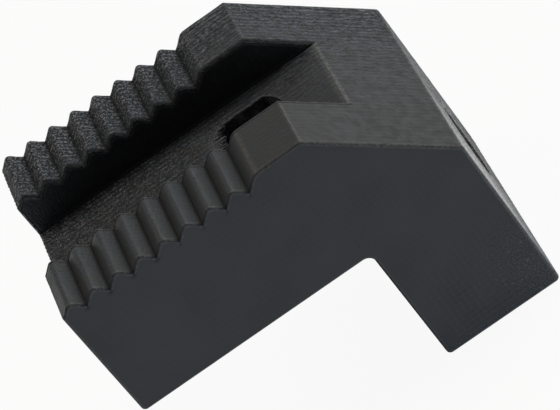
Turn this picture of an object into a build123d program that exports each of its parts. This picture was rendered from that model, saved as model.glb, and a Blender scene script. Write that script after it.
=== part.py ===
from build123d import *
import os

# Robot gripper finger, printed in plastic as one piece. A thick arm carries two rows of teeth on its
# upper side, with a relief groove between them, and a leg hangs down behind it. The jaw of the gripper
# sits in the inside corner of this L. One screw down through the arm and one through the leg hold the
# finger to it.
# Millimetres. X runs from the tip to the back, Y across the finger, Z from the leg to the gripping side.
# The origin is where the leg screw's axis leaves the seat face, which is the front face of the leg.

# Arm and leg, seen from the side
width = 20.0
arm_clear = 20.0
arm_height = 12.0
leg_thickness = 10.0
leg_drop = 12.0
back_rise = 3.4
flat_length = 4.0
inner_radius = 0.7
outer_radius = 0.4
flat_radius = 0.6

# Teeth on the gripping side
tooth_count = 8
tooth_pitch = 2.0
tooth_depth = 1.0
crest_radius = 0.3
root_radius = 0.1

# Relief groove between the two toothed rails
groove_width = 8.5
groove_depth = 3.8

# Socket-head screws through the arm and the leg, each with its head sunk in a recess
screw_diameter = 3.0
head_diameter = 5.5
screw_clearance = 0.4
head_clearance = 0.7
head_sink = 0.4
arm_screw_reach = 2.3

# Lines of the side view. The leg screw is centred on the height of the back face.
tip_x = -arm_clear
back_x = leg_thickness
underside_z = (leg_drop - back_rise) / 2
leg_end_z = underside_z - leg_drop
back_top_z = underside_z + back_rise
grip_z = underside_z + arm_height
floor_z = grip_z - groove_depth
toothed_length = (tooth_count + 0.5) * tooth_pitch
shoulder_x = tip_x + toothed_length + flat_length

with BuildPart() as finger:
    # Side outline. The teeth are a zigzag that starts in a root at the tip and ends on the flat.
    with BuildSketch(Plane.XZ):
        with BuildLine():
            teeth = Polyline(
                [
                    (tip_x + step * tooth_pitch / 2, grip_z - tooth_depth * (1 - step % 2))
                    for step in range(2 * tooth_count + 2)
                ]
            )
            Polyline(
                teeth @ 1,
                (shoulder_x, grip_z),
                (back_x, back_top_z),
                (back_x, leg_end_z),
                (0, leg_end_z),
                (0, underside_z),
                (tip_x, underside_z),
                teeth @ 0,
            )
        make_face()
        levels = vertices().group_by(Axis.Y)
        crests = levels[-1].sort_by(Axis.X)
        roots = levels[-2].sort_by(Axis.X)
        fillet(crests[:tooth_count], crest_radius)
        fillet(roots[1:], root_radius)
        fillet(crests[tooth_count:], flat_radius)
        fillet(vertices().sort_by_distance((0, underside_z))[0], inner_radius)
        outer_corners = [(tip_x, underside_z), (0, leg_end_z), (back_x, leg_end_z), (back_x, back_top_z)]
        fillet([vertices().sort_by_distance(corner)[0] for corner in outer_corners], outer_radius)
    extrude(amount=width / 2, both=True)

    # The groove runs in from the tip on a level floor and comes out through the sloping shoulder.
    with BuildSketch(Plane.YZ.offset(tip_x)):
        with Locations((0, floor_z)):
            Rectangle(groove_width, 2 * groove_depth, align=(Align.CENTER, Align.MIN))
    extrude(amount=arm_clear + leg_thickness, mode=Mode.SUBTRACT)

    # The arm screw goes in from the floor of the groove and the leg screw from the back face. The head is
    # as high as the screw is thick, and the recess takes it in whole.
    arm_mouth = Plane(origin=(-arm_screw_reach, 0, floor_z), z_dir=(0, 0, 1))
    leg_mouth = Plane(origin=(back_x, 0, 0), z_dir=(1, 0, 0))
    for mouth, hole_length in ((arm_mouth, floor_z - underside_z), (leg_mouth, leg_thickness)):
        with Locations(mouth):
            CounterBoreHole(
                radius=(screw_diameter + screw_clearance) / 2,
                counter_bore_radius=(head_diameter + head_clearance) / 2,
                counter_bore_depth=screw_diameter + head_sink,
                depth=hole_length,
            )

finger.part.label = "finger"
os.makedirs("parts", exist_ok=True)
export_step(finger.part, "parts/finger.step")
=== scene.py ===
import math
import random

import bmesh
import bpy
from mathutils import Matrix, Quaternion, Vector, noise


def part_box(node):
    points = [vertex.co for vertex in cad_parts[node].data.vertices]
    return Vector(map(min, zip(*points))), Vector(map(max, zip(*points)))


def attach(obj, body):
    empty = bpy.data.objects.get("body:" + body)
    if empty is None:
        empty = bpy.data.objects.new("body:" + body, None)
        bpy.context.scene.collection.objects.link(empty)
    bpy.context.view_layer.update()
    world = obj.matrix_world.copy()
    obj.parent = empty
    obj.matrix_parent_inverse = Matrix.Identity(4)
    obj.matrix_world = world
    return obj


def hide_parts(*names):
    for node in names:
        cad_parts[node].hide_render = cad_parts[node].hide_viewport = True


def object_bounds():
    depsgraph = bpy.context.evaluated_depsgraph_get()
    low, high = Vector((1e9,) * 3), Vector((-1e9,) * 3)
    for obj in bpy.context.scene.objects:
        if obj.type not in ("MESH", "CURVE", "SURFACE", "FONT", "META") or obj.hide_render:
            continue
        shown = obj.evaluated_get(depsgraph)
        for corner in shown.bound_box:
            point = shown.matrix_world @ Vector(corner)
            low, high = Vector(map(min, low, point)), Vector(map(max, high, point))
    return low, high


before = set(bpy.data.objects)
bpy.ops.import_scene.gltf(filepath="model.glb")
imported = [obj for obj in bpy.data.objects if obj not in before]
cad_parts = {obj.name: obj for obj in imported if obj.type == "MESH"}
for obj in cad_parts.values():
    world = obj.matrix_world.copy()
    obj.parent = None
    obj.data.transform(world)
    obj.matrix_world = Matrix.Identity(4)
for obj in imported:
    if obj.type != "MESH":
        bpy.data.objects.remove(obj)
cad_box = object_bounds()


# The finger is one piece of black nylon filled with chopped carbon fibre. It was printed lying on its near
# side, so its layers are stacked across the width and every wall shows their edges. The near side is as
# smooth as the print bed, and the layers get rougher towards the far side.
mm = 0.001

# A point counts as on a flat face within the tolerance, on a sharp edge within a hair, and on a curved wall
# within the leeway.
tolerance = 0.001 * mm
hair = 0.01 * mm
leeway = 0.05 * mm
flat_angle = math.radians(0.5)
sharp_corner = math.radians(40)

# How the finger is printed, and the lines of the solid that its print follows.
layer_height = 0.25 * mm
bead_width = 0.5 * mm
wall_step = 0.4 * mm
rim_radius = 0.2 * mm
mouth_radius = 0.1 * mm
groove_side = 4.25 * mm
floor_height = 12.5 * mm
tooth_root = 15.3 * mm
tooth_pitch = 2.0 * mm
crest_radius = 0.45 * mm
flat_start = -3.0 * mm
flat_radius = 1.2 * mm
arm_screw_x = -2.3 * mm
recess_radius = 3.1 * mm
recess_depth = 3.4 * mm

low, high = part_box("finger")
printed = bmesh.new()
printed.from_mesh(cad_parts["finger"].data)
bmesh.ops.remove_doubles(printed, verts=printed.verts, dist=tolerance)
bmesh.ops.dissolve_limit(printed, angle_limit=flat_angle, verts=printed.verts, edges=printed.edges)


def from_axis(point, screw):
    """How far a point is from the axis of the arm screw or the leg screw."""
    along = point.x - arm_screw_x if screw == "arm" else point.z
    return math.hypot(along, point.y)


def lies_across(point, side):
    """True on the plane where the layers start or end, at that distance to either side of the middle."""
    return abs(abs(point.y) - side) < tolerance


def is_rim(edge):
    """True on the sharp edge round the near and far sides, and round the top of each groove wall."""
    ends = [vert.co for vert in edge.verts]
    outer = all(lies_across(end, high.y) for end in ends)
    inner = all(lies_across(end, groove_side) and end.z > floor_height - leeway for end in ends)
    return (outer or inner) and edge.is_convex and edge.calc_face_angle() > sharp_corner


def is_mouth(edge):
    """True on the edge of a screw's recess, in the groove floor or in the back face."""
    ends = [vert.co for vert in edge.verts]
    if all(abs(end.z - floor_height) < tolerance for end in ends):
        return all(abs(from_axis(end, "arm") - recess_radius) < leeway for end in ends)
    if all(abs(end.x - high.x) < tolerance for end in ends):
        return all(abs(from_axis(end, "leg") - recess_radius) < leeway for end in ends)
    return False


rims = [edge for edge in printed.edges if is_rim(edge)]
mouths = [edge for edge in printed.edges if is_mouth(edge)]
bmesh.ops.bevel(printed, geom=rims, offset=rim_radius, segments=3, profile=0.5, affect="EDGES",
                material=-1, clamp_overlap=False)
bmesh.ops.bevel(printed, geom=[edge for edge in mouths if edge.is_valid], offset=mouth_radius, segments=2,
                profile=0.5, affect="EDGES", material=-1, clamp_overlap=False)


def slice_every(axis, step):
    """Cuts the whole body square to one axis, so that its walls can be shaped."""
    snap = 0.004 * mm
    for cut in range(1, round((high[axis] - low[axis]) / step)):
        place, direction = Vector(), Vector()
        place[axis] = low[axis] + cut * step
        direction[axis] = 1
        everything = printed.verts[:] + printed.edges[:] + printed.faces[:]
        bmesh.ops.bisect_plane(printed, geom=everything, dist=snap, plane_co=place, plane_no=direction)


slice_every(0, wall_step)
slice_every(2, wall_step)
slice_every(1, layer_height / 2)


def rim_inset(point):
    """How far the round of a rim draws the outline in, close to a side of the finger or a groove wall."""
    from_wall = min(high.y - abs(point.y), abs(abs(point.y) - groove_side))
    along_round = max(0.0, rim_radius - from_wall)
    return rim_radius - math.sqrt(rim_radius**2 - along_round**2)


# The print head can't draw a sharp tooth, so each crest comes out as a round of plastic, and so does the
# front edge of the flats. Each round ends where it runs into a flank, which slopes at 45 degrees.
flank_reach = math.sin(math.radians(45))
crest_middle = high.z - crest_radius * math.sqrt(2)
flat_middle_x = flat_start + flat_radius * math.tan(math.radians(22.5))
flat_middle_z = high.z - flat_radius
for vert in printed.verts:
    if vert.co.z < tooth_root:
        continue
    from_crest = (vert.co.x - low.x) % tooth_pitch - tooth_pitch / 2
    radius = crest_radius - rim_inset(vert.co)
    if vert.co.x < flat_start - tooth_pitch / 2 and abs(from_crest) < radius * flank_reach:
        vert.co.z = min(vert.co.z, crest_middle + math.sqrt(radius**2 - from_crest**2))
    from_flat = flat_middle_x - vert.co.x
    radius = flat_radius - rim_inset(vert.co)
    if 0 < from_flat < radius * flank_reach:
        vert.co.z = min(vert.co.z, flat_middle_z + math.sqrt(radius**2 - from_flat**2))

# Sharp corners stay sharp in the shading, as they are before the layers are shaped.
printed.normal_update()
for edge in printed.edges:
    edge.smooth = edge.calc_face_angle() < sharp_corner
for face in printed.faces:
    face.smooth = True

# Edges that stick out are rubbed light, partly real wear and partly a painted highlight, all but the crests
# and the ones on the seat. Hollow corners and the near edge of the seat get painted shade.
full_turn = math.radians(14)
least_turn = 0.4
deep_turn = -0.5
edge_turn = printed.verts.layers.float.new("edge_turn")
for vert in printed.verts:
    turns = [edge.calc_face_angle_signed(0.0) / full_turn for edge in vert.link_edges]
    to_tip = vert.normal.x < -0.3
    downward = vert.normal.z < -0.3
    if min(turns) < deep_turn:
        vert[edge_turn] = max(min(turns), -1.0)
    elif max(turns) > least_turn and not to_tip and (vert.co.x > 0 or not downward):
        on_crest = vert.co.z > tooth_root and vert.co.x < flat_start and abs(vert.normal.y) < 0.1
        vert[edge_turn] = 0.0 if on_crest else min(max(turns), 1.0)
    elif max(turns) > least_turn and to_tip and vert.normal.y < -0.1 and vert.co.x > -1 * mm:
        vert[edge_turn] = -1.0

# How far a point on a side or a groove wall is from the outline there, for the lines of the print head.
rim_distance = printed.verts.layers.float.new("rim_distance")
square_on = 0.99
flat_verts = [vert for vert in printed.verts if abs(vert.normal.y) > square_on]
for side in (low.y, -groove_side, groove_side, high.y):
    here = [vert for vert in flat_verts if abs(vert.co.y - side) < tolerance]
    outline = [
        edge
        for edge in printed.edges
        if all(abs(vert.co.y - side) < tolerance for vert in edge.verts)
        and sum(abs(face.normal.y) > square_on for face in edge.link_faces) == 1
    ]
    starts = [edge.verts[0].co.copy() for edge in outline]
    spans = [edge.verts[1].co - edge.verts[0].co for edge in outline]
    for vert in here:
        nearest = math.inf
        for start, span in zip(starts, spans):
            offset = vert.co - start
            along = min(max(offset.dot(span) / span.length_squared, 0.0), 1.0)
            nearest = min(nearest, (offset - span * along).length)
        vert[rim_distance] = nearest / mm

# Each layer is a rounded bead with its own small inset and waviness, and every second one is a little further
# in, because the play in the printer's screw shows up again every second layer.
seam_depth = 0.012 * mm
largest_inset = 0.012 * mm
second_inset = 0.014 * mm
waviness = 0.009 * mm
random.seed(4)
layer_count = round((high.y - low.y) / layer_height)
layer_insets = [
    random.uniform(0, 1) * largest_inset + second_inset * (layer % 2)
    for layer in range(layer_count)
]


def in_recess(point):
    """True on the wall or the floor of a screw's recess."""
    in_arm = -leeway > point.z - floor_height > -recess_depth - 2 * leeway
    in_leg = -leeway > point.x - high.x > -recess_depth - 2 * leeway
    near_arm = from_axis(point, "arm") < recess_radius + leeway
    near_leg = from_axis(point, "leg") < recess_radius + leeway
    return (in_arm and near_arm) or (in_leg and near_leg)


# The print grew coarser layer by layer. It is coarsest in the recesses, then on the floor of the groove, and
# then on the teeth.
near_coarseness, far_coarseness = 0.15, 1.55
recess_factor, floor_factor, tooth_factor = 3.0, 1.8, 1.5


def coarseness(point):
    """How coarse the print came out at a point."""
    far_share = (point.y - low.y) / (high.y - low.y)
    grown = near_coarseness + (far_coarseness - near_coarseness) * far_share
    if in_recess(point):
        return grown * recess_factor
    if abs(point.y) < groove_side and point.z > floor_height - 0.3 * mm:
        return grown * floor_factor
    if point.z > tooth_root - 0.2 * mm and point.x < flat_start:
        return grown * tooth_factor
    return grown


def layer_inset(point):
    """How far the wall is set in at a point, from the bead that it lies on."""
    level = (point.y - low.y) / layer_height
    seam = abs(level - round(level)) < 0.05
    layer = min(max(int(level - 0.01), 0), layer_count - 1)
    above = min(layer + 1, layer_count - 1)
    inset = max(layer_insets[layer], layer_insets[above]) + seam_depth if seam else layer_insets[layer]
    wave = noise.fractal(Vector((point.x / mm * 1.6, layer * 3.7, point.z / mm * 1.6)), 0.8, 2.0, 3)
    return (inset + waviness * (1.0 + wave)) * coarseness(point)


# A hole that is printed on its side sags flat along its far side. In the face round the mouth the sag runs
# out at the wall of the groove, or a little way out on the back face.
sag_side = 1.9 * mm
sagged_height = 2.45 * mm
sag_unevenness = 0.16 * mm
back_sag_end = 5.0 * mm
wall_zone = 0.15 * mm


def sag(point):
    """How far a point drooped towards the print bed, by the far side of a screw's recess."""
    if point.y < sag_side:
        return 0.0
    if floor_height - recess_depth - hair < point.z < floor_height + hair:
        along, free_end, in_face = point.x - arm_screw_x, groove_side, point.z > floor_height - hair
    elif high.x - recess_depth - hair < point.x:
        along, free_end, in_face = point.z, back_sag_end, point.x > high.x - hair
    else:
        return 0.0
    if abs(along) > sag_side or point.y > free_end:
        return 0.0
    circle = math.sqrt(recess_radius**2 - along**2)
    uneven = noise.noise(Vector((along / mm * 1.3, 5.0, 0.4 * (point.z + point.x) / mm)))
    droop = max(0.0, circle - sagged_height + sag_unevenness * uneven)
    if in_face and point.y > circle:
        return droop * (free_end - point.y) / (free_end - circle)
    if point.y < circle - wall_zone:
        return droop * (point.y - sag_side) / (circle - sag_side)
    return droop


# Loose strands hang into the arm screw's recess. Every second cut is the middle of one.
shortest_strand, longest_strand = 0.5 * mm, 1.9 * mm
strand_depth = 0.9 * mm
full_strand_depth = 0.2 * mm
last_strand_y = 2.5 * mm
strand_root = 0.9 * mm
strand_reaches = [
    random.uniform(shortest_strand, longest_strand) * (1 - cut % 2)
    for cut in range(2 * layer_count)
]


def strand(point):
    """How far a loose strand reaches into the arm screw's recess from the end that lies towards the tip."""
    from_wall = abs(from_axis(point, "arm") - recess_radius)
    depth = floor_height - point.z
    if from_wall > wall_zone or not -hair < depth < strand_depth or point.y > last_strand_y:
        return 0.0
    facing = max(0.0, (arm_screw_x - point.x) / recess_radius - 0.3)
    reach = strand_reaches[round(2 * (point.y - low.y) / layer_height)]
    return reach * facing * (1 - max(0.0, depth - full_strand_depth) / (strand_depth - full_strand_depth))


def hanging(point):
    """How far apart the layers hang at a point: most in a recess, less on the floor at the strands' roots."""
    if in_recess(point):
        return 1.0
    facing = (arm_screw_x - point.x) / recess_radius
    if point.z > floor_height + hair or abs(point.y) > groove_side - 2 * leeway or facing < 0:
        return 0.0
    from_mouth = abs(from_axis(point, "arm") - recess_radius)
    return min(facing, 1.0) * max(0.0, 1 - from_mouth / strand_root)


# The first bead beside the groove stands apart from the rest of its layer, and on the far rail it droops into
# the groove. The gap and the drooping bead get painted shade.
bead_gap = groove_side + rim_radius + 0.05 * mm
gap_depth = 0.06 * mm
bead_droop = 0.09 * mm
hollow = printed.verts.layers.float.new("hollow")
moves = []
for vert in printed.verts:
    vert[hollow] = hanging(vert.co)
    across = Vector((vert.normal.x, 0, vert.normal.z))
    inset = layer_inset(vert.co)
    if vert.co.z > floor_height:
        if lies_across(vert.co, bead_gap) and vert.normal.z > 0.3:
            inset += gap_depth
            vert[edge_turn] = -1.0
        elif groove_side - hair < vert.co.y < bead_gap and vert.normal.z > 0.2:
            inset += bead_droop * ((bead_gap - vert.co.y) / (bead_gap - groove_side)) ** 2
            vert[edge_turn] = -0.85
    moves.append(Vector((strand(vert.co), -sag(vert.co), 0)) - across * inset)
for vert, move in zip(printed.verts, moves):
    vert.co += move

finger_mesh = bpy.data.meshes.new("printed_finger")
printed.to_mesh(finger_mesh)
printed.free()
finger = bpy.data.objects.new("printed_finger", finger_mesh)
bpy.context.scene.collection.objects.link(finger)

# The plastic is dark charcoal. Lengths in its pattern are in millimetres.
plastic = bpy.data.materials.new("carbon_filled_nylon")
plastic.use_nodes = True
nodes = plastic.node_tree.nodes
links = plastic.node_tree.links
shader = nodes["Principled BSDF"]
position = nodes.new("ShaderNodeTexCoord")
in_mm = nodes.new("ShaderNodeVectorMath")
in_mm.operation = "SCALE"
in_mm.inputs["Scale"].default_value = 1 / mm
links.new(position.outputs["Object"], in_mm.inputs[0])
separate = nodes.new("ShaderNodeSeparateXYZ")
links.new(in_mm.outputs[0], separate.inputs[0])
at_x, at_y, at_z = separate.outputs
tip_x, back_x = low.x / mm, high.x / mm
bed_y, far_y = low.y / mm, high.y / mm


# Each of these adds a step to the pattern of the material that is being made.
def stored(name):
    """A value that was stored at the vertices."""
    step = nodes.new("ShaderNodeAttribute")
    step.attribute_name = name
    return step.outputs["Fac"]


def result(operation, *values):
    """Maths on sockets and plain numbers."""
    step = nodes.new("ShaderNodeMath")
    step.operation = operation
    for socket, value in zip(step.inputs, values):
        if isinstance(value, (int, float)):
            socket.default_value = value
        else:
            links.new(value, socket)
    return step.outputs[0]


def product(*values):
    """All the values multiplied together."""
    total = values[0]
    for value in values[1:]:
        total = result("MULTIPLY", total, value)
    return total


def opposite(share):
    """1 where the share is 0, and 0 where it is 1."""
    return result("SUBTRACT", 1.0, share)


def spread(value, low_in, high_in, low_out, high_out):
    """Turns one range of values into another and stays within it."""
    step = nodes.new("ShaderNodeMapRange")
    for socket, number in zip(step.inputs[1:5], (low_in, high_in, low_out, high_out)):
        socket.default_value = number
    links.new(value, step.inputs[0])
    return step.outputs[0]


def blend(share, first, second):
    """Goes from the first number or colour to the second as the share goes from 0 to 1."""
    step = nodes.new("ShaderNodeMix")
    if isinstance(first, tuple) or isinstance(second, tuple):
        step.data_type = "RGBA"
    links.new(share, step.inputs["Factor"])
    for name, value in (("A", first), ("B", second)):
        if isinstance(value, tuple):
            step.inputs[name].default_value = (*value, 1)
        elif isinstance(value, (int, float)):
            step.inputs[name].default_value = value
        else:
            links.new(value, step.inputs[name])
    return step.outputs["Result"]


def grains(per_mm, detail):
    """Noise between 0 and 1, with that many grains to the millimetre along X, Y and Z."""
    stretched = nodes.new("ShaderNodeVectorMath")
    stretched.operation = "MULTIPLY"
    stretched.inputs[1].default_value = per_mm
    links.new(in_mm.outputs[0], stretched.inputs[0])
    pattern = nodes.new("ShaderNodeTexNoise")
    pattern.inputs["Scale"].default_value = 1.0
    pattern.inputs["Detail"].default_value = detail
    links.new(stretched.outputs[0], pattern.inputs["Vector"])
    return pattern.outputs["Fac"]


# The unevenness of the plastic, from broad blotches to fine grit.
blotches = grains((0.35, 0.35, 0.35), 3)
streaks = grains((4.2, 5.5, 4.4), 3)
grit = grains((7.5, 7.5, 7.5), 2)
dashes = grains((1.8, 8.0, 1.8), 2)
stain = spread(grains((1.3, 1.3, 1.3), 2), 0.35, 0.65, -0.25, 0.45)

# The grain gets coarser away from the print bed and towards the tip, where the plastic cooled badly.
from_outline = stored("rim_distance")
on_side = spread(from_outline, 0.0, 0.1, 0.0, 1.0)
width_share = spread(at_y, bed_y, far_y, 0.0, 1.0)
coarse = result("MULTIPLY_ADD", product(width_share, width_share), 1.25, 0.14)
coarse = product(coarse, spread(at_x, tip_x, 1, 1.7, 0.92))
coarse = result("MINIMUM", coarse, 1.6)
coarse = product(coarse, spread(from_outline, 0.0, 0.1, 1.0, 0.35))

# The print head drew two lines along the outline of each layer, and crossed lines inside them.
bead_turn = 2 * math.pi * mm / bead_width
rings = result("COSINE", product(from_outline, bead_turn))
upright = result("COSINE", product(at_x, bead_turn))
level_lines = result("COSINE", product(at_z, bead_turn))
crossed = result("ADD", product(upright, 0.65), product(level_lines, 0.35))
fill = blend(spread(from_outline, 0.95, 1.05, 0.0, 1.0), product(rings, 0.3), crossed)
broken = product(spread(blotches, 0.35, 0.65, 0.3, 1.4), spread(grit, 0.35, 0.65, 0.0, 1.6))
lines = product(fill, on_side, product(broken, spread(at_z, 2, -5, 0.25, 1)))

# Pairs of layers stand out as lines along every wall.
pairs = result("SINE", product(at_y, math.pi * mm / layer_height))
layer_relief = product(result("MULTIPLY_ADD", pairs, 0.05, streaks), product(coarse, 0.18))
grit_relief = product(grit, product(coarse, 0.20))
line_relief = product(lines, 0.022)
relief = nodes.new("ShaderNodeBump")
relief.inputs["Distance"].default_value = 1.0 * mm
relief.inputs["Strength"].default_value = 1.0
links.new(result("ADD", result("ADD", layer_relief, grit_relief), line_relief), relief.inputs["Height"])
links.new(relief.outputs["Normal"], shader.inputs["Normal"])

# The near side is scuffed towards its foot. There, and where the print is coarse, ends of fibre lie open in
# the surface and shine, and their shine is also painted into the colour as light flecks.
scuffed = product(spread(at_z, 1, -6, 0, 1), spread(at_x, 5, 9, 0, 1))
scuffed = result("MAXIMUM", scuffed, spread(at_z, -6.9, -7.4, 0, 0.8))
scuffed = product(scuffed, opposite(width_share))
fibres = nodes.new("ShaderNodeTexVoronoi")
fibres.inputs["Scale"].default_value = 2.6
links.new(in_mm.outputs[0], fibres.inputs["Vector"])
picked = nodes.new("ShaderNodeSeparateXYZ")
links.new(fibres.outputs["Color"], picked.inputs[0])
few = spread(picked.outputs["X"], 0.80, 1.0, 0.0, 1.0)
fleck = product(spread(fibres.outputs["Distance"], 0.10, 0.42, 1.0, 0.0), few)
fleck = product(fleck, result("MAXIMUM", product(coarse, coarse), scuffed))

# Edges are rubbed in specks, which also carry a painted highlight. So are high spots, and the hollows between
# the layers are painted a little darker as shade. Behind the teeth the specks run along the layers in dashes.
corner = stored("edge_turn")
specks = spread(result("ADD", streaks, grit), 0.85, 1.2, 0.25, 1.0)
edge_wear_and_highlight = product(result("MAXIMUM", corner, 0.0), specks, opposite(on_side))
flat_x = flat_start / mm
grain = blend(spread(at_x, flat_x - 0.4, flat_x + 0.4, 0.0, 0.65), grit, dashes)
rubbed_and_painted_light = result("ADD", product(streaks, 0.3), product(grain, 0.7))
rubbed_and_painted_light = result("MULTIPLY_ADD", pairs, 0.04, rubbed_and_painted_light)
rubbed_and_painted_light = product(result("SUBTRACT", rubbed_and_painted_light, 0.5), product(coarse, coarse))
rubbed_and_painted_light = result("MULTIPLY_ADD", rubbed_and_painted_light, 13.0, result("MULTIPLY_ADD", coarse, 0.16, 0.37))
rubbed_and_painted_light = result("MULTIPLY_ADD", lines, 0.10, rubbed_and_painted_light)
rubbed_and_painted_light = result("MULTIPLY_ADD", scuffed, result("MULTIPLY_ADD", grit, 9.0, -4.6), rubbed_and_painted_light)

# The floor and the walls of the groove get painted shade, with one painted highlight line where the last bead
# bends over at the top of a wall.
from_middle = result("ABSOLUTE", at_y)
wall_y, floor_z = groove_side / mm, floor_height / mm
wall = product(on_side, spread(from_middle, 5.0, 5.2, 1, 0))
lip = product(spread(from_outline, 0.02, 0.08, 0, 1), spread(from_outline, 0.16, 0.26, 1, 0))
between_walls = spread(from_middle, wall_y - 0.05, wall_y + 0.05, 1, 0)
on_floor = product(between_walls, spread(at_z, floor_z - 0.3, floor_z - 0.15, 0, 1))
floor_shade = product(on_floor, spread(at_x, tip_x, -6, -0.3, -0.1))
rubbed_and_painted_light = result("MULTIPLY_ADD", wall, -0.32, result("ADD", floor_shade, rubbed_and_painted_light))
rubbed_and_painted_light = result("MULTIPLY_ADD", product(lip, wall), 0.8, rubbed_and_painted_light)

# The roots of the teeth get painted shade, on the far rail mostly on the flanks that face the tip, and there
# the flanks that face the leg are painted a little lighter, as lit.
root_z = tooth_root / mm
above_roots = spread(at_z, root_z - 0.1, root_z + 0.02, 0, 1)
before_flats = spread(at_x, flat_x - 0.2, flat_x, 1, 0)
on_teeth = product(above_roots, before_flats, opposite(on_side))
phase = result("FRACT", result("MULTIPLY_ADD", at_x, mm / tooth_pitch, -low.x / tooth_pitch))
back_flank = product(result("GREATER_THAN", phase, 0.5), width_share)
painted_root_shade = product(on_teeth, spread(at_z, root_z + 0.05, root_z + 0.5, 1, 0), opposite(back_flank))
rubbed_and_painted_light = result("MULTIPLY_ADD", painted_root_shade, result("MULTIPLY_ADD", width_share, -0.65, -0.3), rubbed_and_painted_light)
rubbed_and_painted_light = result("MULTIPLY_ADD", product(on_teeth, back_flank), 0.12, rubbed_and_painted_light)

# The shoulder is stained, and its far end is lighter.
on_shoulder = product(spread(at_x, 0, 4, 0, 1), opposite(on_side), opposite(on_floor))
lighter_far_end = product(on_shoulder, product(width_share, width_share))
rubbed_and_painted_light = result("MULTIPLY_ADD", lighter_far_end, 0.3, rubbed_and_painted_light)
rubbed_and_painted_light = result("MULTIPLY_ADD", on_shoulder, result("MULTIPLY_ADD", stain, 0.6, -0.06), rubbed_and_painted_light)

# In the recesses of the screws the layers hang apart, and the light and shade on their edges is painted as
# light and dark stripes.
painted_recess_stripes = result("COSINE", product(at_y, 2 * math.pi * mm / layer_height))
painted_recess_stripes = result("MULTIPLY_ADD", grit, 3.0, result("MULTIPLY_ADD", painted_recess_stripes, 0.9, -1.2))
rubbed_and_painted_light = result("ADD", product(painted_recess_stripes, stored("hollow")), rubbed_and_painted_light)

# Untouched plastic is nearly black and rubbed plastic is grey, with random patches of warmer and cooler tone,
# and painted cooler on the teeth and towards the far side as cool reflected light. The highest grains are
# painted light as glints.
coolness = result("MULTIPLY_ADD", on_teeth, 0.35, result("MULTIPLY_ADD", width_share, 0.7, stain))
grey = blend(coolness, (0.092, 0.089, 0.086), (0.077, 0.096, 0.122))
grey = blend(spread(rubbed_and_painted_light, 1.1, 4.4, 0.0, 1.0), grey, (0.36, 0.37, 0.40))
colour = blend(rubbed_and_painted_light, (0.0135, 0.0150, 0.0175), grey)
# Rubbed edges and open fibre ends are painted light grey: on the edges partly real wear and partly a painted
# highlight, on the fibres a painted glint.
edge_wear_and_painted_highlight = product(edge_wear_and_highlight, spread(at_x, 1, 3, 0.5, 0.8))
colour = blend(result("MAXIMUM", fleck, edge_wear_and_painted_highlight), colour, (0.19, 0.19, 0.19))
# Hollow corners, the tip-facing edge of the seat and the first bead beside the groove are painted nearly
# black as shade.
colour = blend(product(corner, -0.8), colour, (0.008, 0.008, 0.009))
links.new(colour, shader.inputs["Base Color"])

# Hollow corners and the walls of the groove are dull. Fibres and worn edges shine, and so does the back
# face near the print bed.
dull = result("MULTIPLY_ADD", wall, 0.15, spread(blotches, 0.3, 0.7, 0.45, 0.55))
dull = result("MULTIPLY_ADD", result("MINIMUM", corner, 0.0), -0.3, dull)
on_back = spread(at_x, back_x - 0.25, back_x - 0.1, 0, 1)
polish = product(on_back, spread(at_y, bed_y, 0, 0.27, 0.05), spread(grit, 0.3, 0.6, 0.3, 1.2))
polish = result("ADD", polish, product(on_back, spread(grit, 0.52, 0.62, 0.0, 0.25)))
polish = product(polish, spread(at_z, -6, 0, 0.2, 1.0))
shine = product(result("MAXIMUM", fleck, edge_wear_and_highlight), 0.15)
links.new(result("SUBTRACT", result("SUBTRACT", dull, polish), shine), shader.inputs["Roughness"])
finger_mesh.materials.append(plastic)

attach(finger, "root")
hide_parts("finger")


# The table is plain white card under the end of the leg. Seen from below it is clear, so the underside of
# the finger can be looked at.
card_size = 3.0
card = bmesh.new()
bmesh.ops.create_grid(card, x_segments=1, y_segments=1, size=card_size / 2)
bmesh.ops.translate(card, verts=card.verts, vec=(0, 0, low.z))
card_mesh = bpy.data.meshes.new("white_card")
card.to_mesh(card_mesh)
card.free()
table = bpy.data.objects.new("white_card", card_mesh)
bpy.context.scene.collection.objects.link(table)

paper = bpy.data.materials.new("white_card")
paper.use_nodes = True
nodes = paper.node_tree.nodes
links = paper.node_tree.links
nodes.remove(nodes["Principled BSDF"])
rays = nodes.new("ShaderNodeLightPath")
position = nodes.new("ShaderNodeTexCoord")
separate = nodes.new("ShaderNodeSeparateXYZ")
links.new(position.outputs["Object"], separate.inputs[0])
across_card = separate.outputs["Y"]

# Its white is seen directly and in reflections. In reflections it is painted darker and cooler towards the
# front, as the finger's shadow on the table in front of it.
looked_at = result("MAXIMUM", rays.outputs["Is Camera Ray"], rays.outputs["Is Transmission Ray"])
mirrored = rays.outputs["Is Glossy Ray"]
white_share = product(looked_at, 0.93)
mirrored_share = product(mirrored, spread(across_card, -12 * mm, 12 * mm, 0.79, 1.0))
in_front = product(mirrored, spread(across_card, 0, -10 * mm, 0, 1))
matt = nodes.new("ShaderNodeBsdfDiffuse")
matt.inputs["Color"].default_value = (0.95, 0.95, 0.95, 1)
glow = nodes.new("ShaderNodeEmission")
lit = nodes.new("ShaderNodeMixShader")
which_side = nodes.new("ShaderNodeNewGeometry")
clear = nodes.new("ShaderNodeBsdfTransparent")
one_way = nodes.new("ShaderNodeMixShader")
links.new(blend(in_front, (1, 1, 1), (0.765, 0.865, 1.0)), glow.inputs["Color"])
links.new(result("MAXIMUM", white_share, mirrored_share), lit.inputs[0])
links.new(matt.outputs[0], lit.inputs[1])
links.new(glow.outputs[0], lit.inputs[2])
links.new(which_side.outputs["Backfacing"], one_way.inputs[0])
links.new(lit.outputs[0], one_way.inputs[1])
links.new(clear.outputs[0], one_way.inputs[2])
links.new(one_way.outputs[0], nodes["Material Output"].inputs["Surface"])
card_mesh.materials.append(paper)


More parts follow.
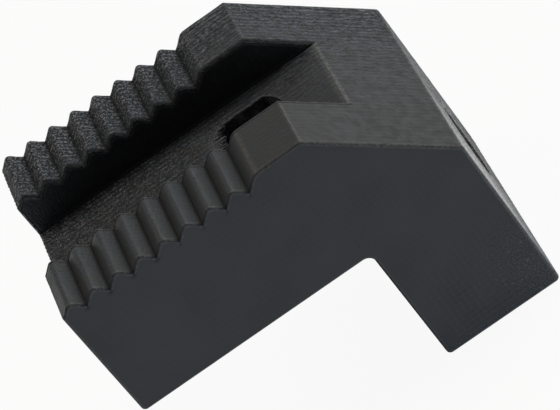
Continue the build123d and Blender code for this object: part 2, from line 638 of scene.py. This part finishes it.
# The studio is a room that looks white but gives little light, most of it from behind the finger. Four soft
# lamps stand round it, two warm ones above the arm and the leg and two cool ones behind and beside the leg.
world = bpy.data.worlds.new("white_room")
bpy.context.scene.world = world
world.use_nodes = True
nodes = world.node_tree.nodes
links = world.node_tree.links
background = nodes["Background"]
direction = nodes.new("ShaderNodeTexCoord")
behind = nodes.new("ShaderNodeVectorMath")
behind.operation = "DOT_PRODUCT"
behind.inputs[1].default_value = (0, 1, 0)
links.new(direction.outputs["Generated"], behind.inputs[0])
dim = spread(behind.outputs["Value"], -0.6, 1.0, 0.03, 0.22)
rays = nodes.new("ShaderNodeLightPath")
looked_at = result("MAXIMUM", rays.outputs["Is Camera Ray"], rays.outputs["Is Transmission Ray"])
links.new(blend(looked_at, dim, 1.0), background.inputs["Strength"])
background.inputs["Color"].default_value = (1, 1, 1, 1)

middle = (Vector(cad_box[0]) + Vector(cad_box[1])) / 2
lamp_distance = 0.5
for name, side, wide, tall, watts, tint in (
    ("top_softbox", (0.60, 0.20, 0.77), 0.25, 0.25, 0.84, (1.0, 0.93, 0.84)),
    ("left_softbox", (-0.60, 0.25, 0.75), 0.25, 0.20, 0.46, (1.0, 0.92, 0.80)),
    ("side_softbox", (0.85, 0.20, 0.45), 0.25, 0.25, 0.26, (0.76, 0.91, 1.0)),
    ("back_strip", (0.38, 0.82, 0.40), 0.20, 0.15, 0.21, (0.92, 0.97, 1.0)),
):
    lamp_data = bpy.data.lights.new(name, "AREA")
    lamp_data.shape = "RECTANGLE"
    lamp_data.size = wide
    lamp_data.size_y = tall
    lamp_data.energy = watts
    lamp_data.color = tint
    lamp = bpy.data.objects.new(name, lamp_data)
    lamp_side = Vector(side).normalized()
    lamp.location = middle + lamp_side * lamp_distance
    lamp.rotation_euler = lamp_side.to_track_quat("Z", "Y").to_euler()
    bpy.context.scene.collection.objects.link(lamp)


# The camera looks down on the near side from a little towards the leg, rolled so that the finger stands
# like a tent on its tip and its leg.
view_azimuth = math.radians(6.62)
view_elevation = math.radians(37.04)
view_roll = math.radians(-38.73)
view_distance = 257.2 * mm
aim = Vector((-4.071, 0.491, 4.805)) * mm
camera_data = bpy.data.cameras.new("camera")
camera_data.lens = 222.5
camera_data.sensor_width = 36
camera_data.clip_start = 0.01
camera = bpy.data.objects.new("camera", camera_data)
outward = Vector((
    math.sin(view_azimuth) * math.cos(view_elevation),
    -math.cos(view_azimuth) * math.cos(view_elevation),
    math.sin(view_elevation),
))
camera.location = aim + outward * view_distance
camera.rotation_mode = "QUATERNION"
camera.rotation_quaternion = Quaternion(outward, view_roll) @ outward.to_track_quat("Z", "Y")
bpy.context.scene.collection.objects.link(camera)
bpy.context.scene.camera = camera

bpy.context.scene.view_settings.view_transform = "Standard"
